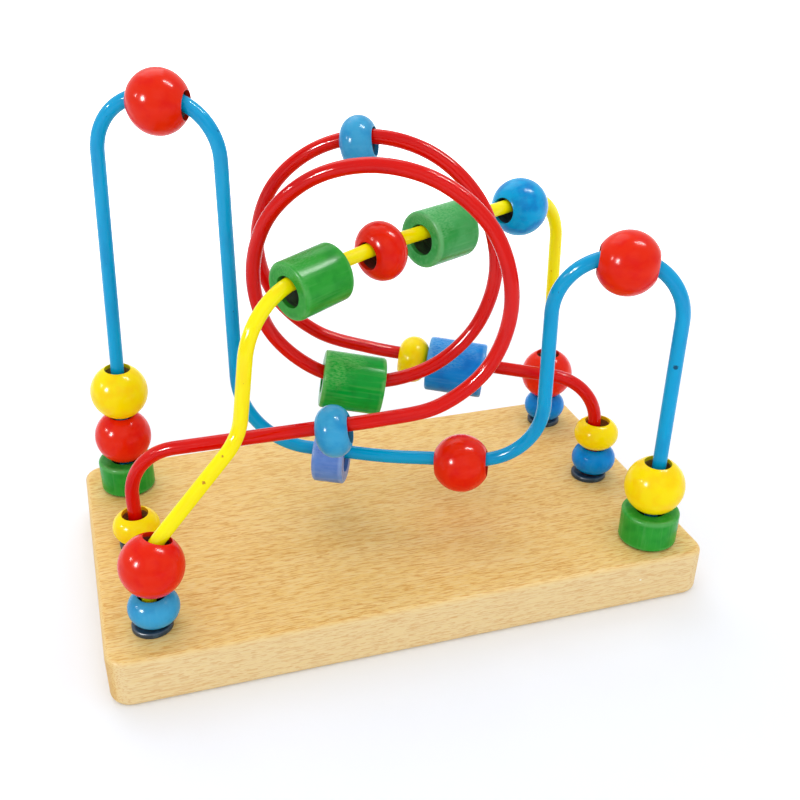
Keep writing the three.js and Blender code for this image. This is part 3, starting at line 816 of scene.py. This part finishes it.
def make_beads():
    materials = {}
    for index, (node, ((form, diameter, length), paint, scuffs)) in enumerate(BEADS.items()):
        centre, axis = seat_of(node)
        turn = UP.rotation_difference(axis).to_matrix()
        look = (form, length, paint, scuffs)
        if look not in materials:
            if form == "round":
                outside = bead_paint(paint, BALL_GLOSS, BALL_STREAKS, scuffs)
            else:
                outside = bead_paint(
                    paint, CYLINDER_GLOSS, CYLINDER_STREAKS, scuffs, length / 2, diameter / 2,
                    turn.inverted() @ SCUFFED_AND_LIT_SIDE,
                )
            materials[look] = [outside, bore_wood_and_shade(paint)]
        profile = (round_profile if form == "round" else edged_profile)(diameter, length)
        piece = lathe(f"{node}_turned", profile, BEAD_SIDES, materials[look])
        places = [value for vertex in piece.data.vertices for value in vertex.co]
        keep_place(piece, "bead_place", places)
        piece.data.transform(Matrix.Translation(centre) @ turn.to_4x4())
        piece.pass_index = index + 1
        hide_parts(node)
        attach(piece, node_body[node])


# Routes of the wires

TOP = BOARD_THICKNESS
FOOT_X = BOARD_LENGTH / 2 - FOOT_INSET_X
FOOT_Y = BOARD_WIDTH / 2 - FOOT_INSET_Y
FEET = {
    "blue_start": Vector((-FOOT_X, FOOT_Y - BLUE_FEET_FORWARD, 0)),
    "blue_end": Vector((FOOT_X, -FOOT_Y - BLUE_FEET_FORWARD, 0)),
    "yellow_start": Vector((-FOOT_X, -FOOT_Y, 0)),
    "yellow_end": Vector((FOOT_X, FOOT_Y - YELLOW_BACK_FOOT_FORWARD, 0)),
    "red_start": Vector((-FOOT_X, RED_FOOT_OFFSET, 0)),
    "red_end": Vector((FOOT_X - RED_RIGHT_FOOT_INSET, -RED_FOOT_OFFSET, 0)),
}


def upright_plane(start, end):
    """Places in the upright plane of two feet: distance from the first foot, height above the board."""
    along = (end - start).normalized()

    def place(distance, rise):
        point = start + along * distance
        point.z = TOP + rise
        return point

    return place


def bent(corners):
    """Straight stretches between corners, each inner corner rounded with its bend radius."""
    stations = [corners[0][0]]
    for (before, _), (corner, bend), (after, _) in zip(corners, corners[1:], corners[2:]):
        back = (before - corner).normalized()
        ahead = (after - corner).normalized()
        half = back.angle(ahead) / 2
        turn = math.pi - 2 * half
        steps = max(2, math.ceil(BEND_STEPS_PER_QUARTER * turn / QUARTER_TURN))
        centre = corner + (back + ahead).normalized() * (bend / math.sin(half))
        start = corner + back * (bend / math.tan(half)) - centre
        axis = ahead.cross(back).normalized()
        for step in range(steps + 1):
            stations.append(Matrix.Rotation(turn * step / steps, 3, axis) @ start + centre)
    stations.append(corners[-1][0])
    return stations


def blue_route():
    place = upright_plane(FEET["blue_start"], FEET["blue_end"])
    diagonal = (FEET["blue_end"] - FEET["blue_start"]).length
    tall_arch_end = TALL_ARCH_LEAN + TALL_ARCH_WIDTH
    sag_start = tall_arch_end - TALL_ARCH_LEG_LEAN
    low_arch_start = diagonal - LOW_ARCH_WIDTH
    sag_end = low_arch_start + LOW_ARCH_LEG_LEAN
    return bent([
        (place(0, -WIRE_DEPTH), None),
        (place(0, DISC_KNEE), LEG_BEND),
        (place(TALL_ARCH_LEAN, TALL_ARCH_RISE), TALL_ARCH_BEND),
        (place(tall_arch_end, TALL_ARCH_RISE), TALL_ARCH_BEND),
        (place(sag_start, SAG_START_RISE), SAG_START_BEND),
        (place((sag_start + sag_end) / 2, SAG_MIDDLE_RISE), SAG_MIDDLE_BEND),
        (place(sag_end, SAG_END_RISE), SAG_END_BEND),
        (place(low_arch_start, LOW_ARCH_RISE), LOW_ARCH_BEND),
        (place(diagonal, LOW_ARCH_RISE), LOW_ARCH_BEND),
        (place(diagonal, -WIRE_DEPTH), None),
    ])


def yellow_route():
    place = upright_plane(FEET["yellow_start"], FEET["yellow_end"])
    diagonal = (FEET["yellow_end"] - FEET["yellow_start"]).length
    steep_start_rise = SLOPE_START_RISE + SLOPE_HEIGHT
    steep_end = SLOPE_RUN + STEEP_RUN
    steep_end_rise = steep_start_rise + STEEP_HEIGHT
    crown_rise = steep_end_rise + YELLOW_RUN_HEIGHT
    run_end = diagonal - YELLOW_LEG_LEAN
    crown = steep_end + (run_end - steep_end) * YELLOW_RUN_CROWN_SHARE
    return bent([
        (place(0, -WIRE_DEPTH), None),
        (place(0, SLOPE_START_RISE), SLOPE_START_BEND),
        (place(SLOPE_RUN, steep_start_rise), SLOPE_END_BEND),
        (place(steep_end, steep_end_rise), STEEP_END_BEND),
        (place(crown, crown_rise), YELLOW_RUN_BEND),
        (place(run_end, crown_rise - YELLOW_RUN_DROP), YELLOW_LEG_BEND),
        (place(diagonal, BUTTON_KNEE), LEG_BEND),
        (place(diagonal, -WIRE_DEPTH), None),
    ])


def coil_point(turns):
    """The angle runs from the coil's lowest point round to the right, and the centre moves back."""
    place = turns * RADII_PER_TURN
    index = min(math.floor(place), len(COIL_RADIUS_SHARES) - 2)
    low, high = COIL_RADIUS_SHARES[index:index + 2]
    share = low + (high - low) * (place - index)
    angle = turns * FULL_TURN - QUARTER_TURN
    across = math.cos(angle)
    arm = Vector((across * math.cos(COIL_YAW), across * math.sin(COIL_YAW), math.sin(angle)))
    return COIL_FRONT.lerp(COIL_BACK, turns / COIL_TURNS) + arm * (COIL_RADIUS * share)


def curve_through(points):
    """A centripetal curve through the points, which runs straight on past both ends."""
    padded = [points[0] * 2 - points[1], *points, points[-1] * 2 - points[-2]]
    stations = []
    for before, start, end, after in zip(padded, padded[1:], padded[2:], padded[3:]):
        gap_before = (start - before).length ** 0.5
        gap = (end - start).length ** 0.5
        gap_after = (after - end).length ** 0.5
        leave = (start - before) / gap_before - (end - before) / (gap_before + gap) + (end - start) / gap
        arrive = (end - start) / gap - (after - start) / (gap + gap_after) + (after - end) / gap_after
        leave *= gap
        arrive *= gap
        for step in range(COIL_STEPS_PER_STRETCH):
            share = step / COIL_STEPS_PER_STRETCH
            square = start * -3 + end * 3 - leave * 2 - arrive
            cube = start * 2 - end * 2 + leave + arrive
            stations.append(start + leave * share + square * share ** 2 + cube * share ** 3)
    stations.append(points[-1])
    return stations


def red_route():
    left_corner = FEET["red_start"] + UP * (TOP + RED_LEFT_RISE)
    right_corner = FEET["red_end"] + UP * (TOP + RED_RIGHT_RISE)
    coil_start = coil_point(0)
    exits = [COIL_BACK + Vector(shares) * COIL_RADIUS for shares in COIL_EXIT_SHARES]
    coil = curve_through([
        *(left_corner.lerp(coil_start, share) for share in LEAD_IN_SHARES),
        *(coil_point(index / RADII_PER_TURN) for index in range(len(COIL_RADIUS_SHARES))),
        *exits,
        *(exits[-1].lerp(right_corner, share) for share in LEAD_OUT_SHARES),
    ])
    left = bent([
        (FEET["red_start"] + UP * (TOP - WIRE_DEPTH), None),
        (left_corner, RED_LEFT_BEND),
        (coil[0], None),
    ])
    right = bent([
        (coil[-1], None),
        (right_corner, RED_RIGHT_BEND),
        (FEET["red_end"] + UP * (TOP - WIRE_DEPTH), None),
    ])
    return left[:-1] + coil + right[1:]


def even_stations(stations, spacing):
    """The same route with rings at an even spacing."""
    lengths = [0]
    for before, after in zip(stations, stations[1:]):
        lengths.append(lengths[-1] + (after - before).length)
    count = math.ceil(lengths[-1] / spacing)
    even = []
    index = 0
    for step in range(count + 1):
        target = lengths[-1] * step / count
        while index < len(lengths) - 2 and lengths[index + 1] < target:
            index += 1
        share = (target - lengths[index]) / (lengths[index + 1] - lengths[index])
        even.append(stations[index].lerp(stations[index + 1], share))
    return even


def make_wire(node, stations, marks):
    """A round wire along its route, with its place along and round the wire kept for its texture."""
    rings = even_stations(stations, WIRE_RING_SPACING)
    radius = WIRE_DIAMETER / 2
    heading = (rings[1] - rings[0]).normalized()
    side = heading.orthogonal().normalized()
    vertices = []
    places = []
    for index, ring in enumerate(rings):
        ahead = rings[min(index + 1, len(rings) - 1)]
        behind = rings[max(index - 1, 0)]
        heading = (ahead - behind).normalized()
        side = (side - heading * side.dot(heading)).normalized()
        other = heading.cross(side)
        for step in range(WIRE_SIDES):
            angle = FULL_TURN * step / WIRE_SIDES
            across = side * math.cos(angle) + other * math.sin(angle)
            vertices.append(ring + across * radius)
            along = index * WIRE_RING_SPACING
            places.extend((radius * math.cos(angle), radius * math.sin(angle), along))
    faces = [tuple(reversed(range(WIRE_SIDES)))]
    for index in range(len(rings) - 1):
        here = index * WIRE_SIDES
        for step in range(WIRE_SIDES):
            following = (step + 1) % WIRE_SIDES
            faces.append((
                here + step, here + following,
                here + WIRE_SIDES + following, here + WIRE_SIDES + step,
            ))
    faces.append(tuple(range((len(rings) - 1) * WIRE_SIDES, len(rings) * WIRE_SIDES)))
    piece = new_object(f"{node}_coated", vertices, faces, [0] * len(faces), [coated_wire(node, marks)])
    keep_place(piece, "wire_place", places)
    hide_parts(node)
    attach(piece, node_body[node])


# Small scuffs seen on the wires: place, radius, strength
WIRE_MARKS = {
    "wire_blue": [(Vector((107.6, -59.9, 107.2)) * MM, 1.8 * MM, 0.85)],
    "wire_yellow": [
        (Vector((-82.4, -44.4, 77.7)) * MM, 1.5 * MM, 0.8),
        (Vector((-73.9, -39.6, 85.4)) * MM, 1.4 * MM, 0.8),
    ],
    "wire_red": [],
}


def make_bushings():
    material = black_plastic()
    feet = {
        "bushing_front_left": FEET["yellow_start"],
        "bushing_back_right": FEET["yellow_end"],
        "bushing_left": FEET["red_start"],
        "bushing_right": FEET["red_end"],
    }
    radius = FLANGE_DIAMETER / 2
    rounding = FLANGE_ROUNDING
    profile = [
        (SLEEVE_BORE, -SLEEVE_LENGTH, OUTSIDE),
        (SLEEVE_RADIUS, -SLEEVE_LENGTH, OUTSIDE),
        (SLEEVE_RADIUS, 0, OUTSIDE),
        (radius - EDGE_SUPPORT, 0, OUTSIDE),
        (radius, EDGE_SUPPORT, OUTSIDE),
        *arc(radius - rounding, FLANGE_THICKNESS - rounding, rounding, 0, QUARTER_TURN, BORE_STEPS),
        (radius - rounding - EDGE_SUPPORT, FLANGE_THICKNESS, OUTSIDE),
        (SLEEVE_BORE + EDGE_SUPPORT, FLANGE_THICKNESS, OUTSIDE),
        (SLEEVE_BORE, FLANGE_THICKNESS - EDGE_SUPPORT, OUTSIDE),
    ]
    for node, foot in feet.items():
        piece = lathe(f"{node}_moulded", profile, BEAD_SIDES, [material])
        piece.matrix_world = Matrix.Translation(foot + UP * TOP)
        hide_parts(node)
        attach(piece, node_body[node])
    for node in ("bushing_back_left", "bushing_front_right"):
        plain = frame["nodes"][node]
        plain.data.materials.clear()
        plain.data.materials.append(material)


# Board


def board_outline(inset):
    radius = BOARD_CORNER_RADIUS - inset
    half_x = BOARD_LENGTH / 2 - BOARD_CORNER_RADIUS
    half_y = BOARD_WIDTH / 2 - BOARD_CORNER_RADIUS
    outline = []
    for quarter, (centre_x, centre_y) in enumerate(
        ((half_x, half_y), (-half_x, half_y), (-half_x, -half_y), (half_x, -half_y))
    ):
        for step in range(BOARD_CORNER_STEPS + 1):
            angle = QUARTER_TURN * (quarter + step / BOARD_CORNER_STEPS)
            outline.append((centre_x + radius * math.cos(angle), centre_y + radius * math.sin(angle)))
    return outline


def make_board():
    rounding = BOARD_EDGE_ROUNDING
    layers = [(rounding + BOARD_SUPPORT, 0)]
    for step in range(BOARD_EDGE_STEPS + 1):
        angle = QUARTER_TURN * step / BOARD_EDGE_STEPS
        layers.append((rounding * (1 - math.sin(angle)), rounding * (1 - math.cos(angle))))
    layers.append((0, rounding + BOARD_SUPPORT))
    upper = [(inset, BOARD_THICKNESS - height) for inset, height in reversed(layers)]
    layers += upper
    vertices = []
    for inset, height in layers:
        vertices.extend((x, y, height) for x, y in board_outline(inset))
    count = len(vertices) // len(layers)
    faces = [tuple(reversed(range(count)))]
    for layer in range(len(layers) - 1):
        here = layer * count
        for step in range(count):
            following = (step + 1) % count
            faces.append((here + step, here + following, here + count + following, here + count + step))
    faces.append(tuple(range((len(layers) - 1) * count, len(layers) * count)))
    piece = new_object("board_shaped", vertices, faces, [0] * len(faces), [beech()])
    drill_holes(piece)
    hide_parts("base_board")
    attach(piece, node_body["base_board"])


def drill_holes(board):
    """Cuts the blind hole of each foot out of the board's top."""
    drill = bpy.data.objects.new("drill", bpy.data.meshes.new("drill"))
    bpy.context.scene.collection.objects.link(drill)
    shape = bmesh.new()
    for foot in FEET.values():
        bmesh.ops.create_cone(
            shape, cap_ends=True, segments=BEAD_SIDES, radius1=HOLE_RADIUS, radius2=HOLE_RADIUS,
            depth=2 * HOLE_DEPTH, matrix=Matrix.Translation(foot + UP * TOP),
        )
    shape.to_mesh(drill.data)
    shape.free()
    cut = board.modifiers.new("holes", "BOOLEAN")
    cut.operation = "DIFFERENCE"
    cut.solver = "EXACT"
    cut.object = drill
    bpy.context.view_layer.update()
    evaluated = board.evaluated_get(bpy.context.evaluated_depsgraph_get())
    finished = bpy.data.meshes.new_from_object(evaluated)
    board.modifiers.clear()
    board.data = finished
    bpy.data.objects.remove(drill)
    shape = bmesh.new()
    shape.from_mesh(finished)
    for edge in shape.edges:
        edge.smooth = not edge.is_manifold or edge.calc_face_angle() < SHARP_EDGE
    shape.to_mesh(finished)
    shape.free()


# Stage

FLOOR_HALF = 3.0
FLOOR_ALBEDO = tone(236, 240, 247)
FLOOR_LIFT = 0.09
FLOOR_FAR_LIFT = 1
FLOOR_FADE = (0.2, 0.6)
FLOOR_ROUGHNESS = 0.9
FLOOR_SPECULAR = 0.1
WHITE = tone(255, 255, 255)
DOME_LEVEL = 0.93
LAMP_TARGET = Vector((0, 0, 0.1))

# Each lamp's name, place, size and power in watts, and whether it lights matt surfaces
LAMPS = [
    ("window_left", Vector((-0.84, -0.4, 0.5)), (0.14, 0.17), 16, False),
    ("window_far_left", Vector((-1.05, 0.05, 0.56)), (0.06, 0.08), 3, False),
    ("strip_right", Vector((0.56, -0.1, 1.17)), (0.05, 0.5), 16, False),
    ("softbox_back", Vector((-0.1, 0.8, 1.2)), (0.9, 0.9), 5, True),
    ("softbox_front", Vector((-0.1, -1.0, 0.9)), (0.9, 0.9), 1.5, True),
]


def make_stage():
    half = FLOOR_HALF
    corners = [(-half, -half, 0), (half, -half, 0), (half, half, 0), (-half, half, 0)]
    graph = Graph("white_floor")
    graph.shader.inputs["Base Color"].default_value = FLOOR_ALBEDO
    graph.set(Roughness=FLOOR_ROUGHNESS, Specular_IOR_Level=FLOOR_SPECULAR)
    rays = graph.add("ShaderNodeLightPath").outputs
    shown = graph.math("MAXIMUM", rays["Is Camera Ray"], rays["Is Glossy Ray"])
    graph.shader.inputs["Emission Color"].default_value = WHITE
    distance = graph.add("ShaderNodeVectorMath", operation="LENGTH")
    graph.feed(distance.inputs[0], graph.own_place())
    far = graph.smooth(distance.outputs["Value"], *FLOOR_FADE)
    lift = graph.math("MULTIPLY_ADD", far, FLOOR_FAR_LIFT - FLOOR_LIFT, FLOOR_LIFT)
    graph.feed(graph.shader.inputs["Emission Strength"], graph.math("MULTIPLY", shown, lift))
    floor = new_object("floor", corners, [(0, 1, 2, 3)], [0], [graph.material])


def make_world():
    world = bpy.data.worlds.new("studio")
    bpy.context.scene.world = world
    world.use_nodes = True
    tree = world.node_tree
    background = tree.nodes["Background"]
    background.inputs["Color"].default_value = WHITE
    rays = tree.nodes.new("ShaderNodeLightPath").outputs
    shown = tree.nodes.new("ShaderNodeMath")
    shown.operation = "MAXIMUM"
    tree.links.new(rays["Is Camera Ray"], shown.inputs[0])
    tree.links.new(rays["Is Glossy Ray"], shown.inputs[1])
    also = tree.nodes.new("ShaderNodeMath")
    also.operation = "MAXIMUM"
    tree.links.new(shown.outputs[0], also.inputs[0])
    tree.links.new(rays["Is Transmission Ray"], also.inputs[1])
    level = tree.nodes.new("ShaderNodeMapRange")
    level.inputs["To Min"].default_value = DOME_LEVEL
    level.inputs["To Max"].default_value = 1
    tree.links.new(also.outputs[0], level.inputs["Value"])
    tree.links.new(level.outputs["Result"], background.inputs["Strength"])


def make_lamps():
    for name, place, size, power, lights_matt in LAMPS:
        lamp = bpy.data.lights.new(name, "AREA")
        lamp.shape = "RECTANGLE"
        lamp.size, lamp.size_y = size
        lamp.energy = power
        holder = bpy.data.objects.new(name, lamp)
        holder.location = place
        holder.rotation_euler = (LAMP_TARGET - place).to_track_quat("-Z", "Y").to_euler()
        holder.visible_diffuse = lights_matt
        bpy.context.scene.collection.objects.link(holder)


def make_camera():
    azimuth, elevation, roll = CAMERA_AZIMUTH, CAMERA_ELEVATION, CAMERA_ROLL
    back = Vector((
        math.sin(azimuth) * math.cos(elevation),
        -math.cos(azimuth) * math.cos(elevation),
        math.sin(elevation),
    ))
    level_right = Vector((math.cos(azimuth), math.sin(azimuth), 0))
    level_up = back.cross(level_right)
    right = level_right * math.cos(roll) + level_up * math.sin(roll)
    up = level_up * math.cos(roll) - level_right * math.sin(roll)
    camera = bpy.data.cameras.new("camera")
    camera.sensor_width = SENSOR_WIDTH
    camera.lens = FOCAL_LENGTH_PIXELS / IMAGE_WIDTH * SENSOR_WIDTH
    centre_x, centre_y = OPTICAL_CENTRE_PIXEL
    camera.shift_x = (IMAGE_WIDTH / 2 - centre_x) / IMAGE_WIDTH
    camera.shift_y = (centre_y - IMAGE_WIDTH / 2) / IMAGE_WIDTH
    camera.clip_start = CAMERA_NEAR
    holder = bpy.data.objects.new("camera", camera)
    turned = Matrix((right, up, back)).transposed().to_4x4()
    holder.matrix_world = Matrix.Translation(CAMERA_PLACE) @ turned
    bpy.context.scene.collection.objects.link(holder)
    bpy.context.scene.camera = holder


make_camera()
make_board()
make_bushings()
make_wire("wire_blue", blue_route(), WIRE_MARKS["wire_blue"])
make_wire("wire_yellow", yellow_route(), WIRE_MARKS["wire_yellow"])
make_wire("wire_red", red_route(), WIRE_MARKS["wire_red"])
make_beads()
make_stage()
make_world()
make_lamps()
bpy.context.scene.view_settings.view_transform = "Standard"
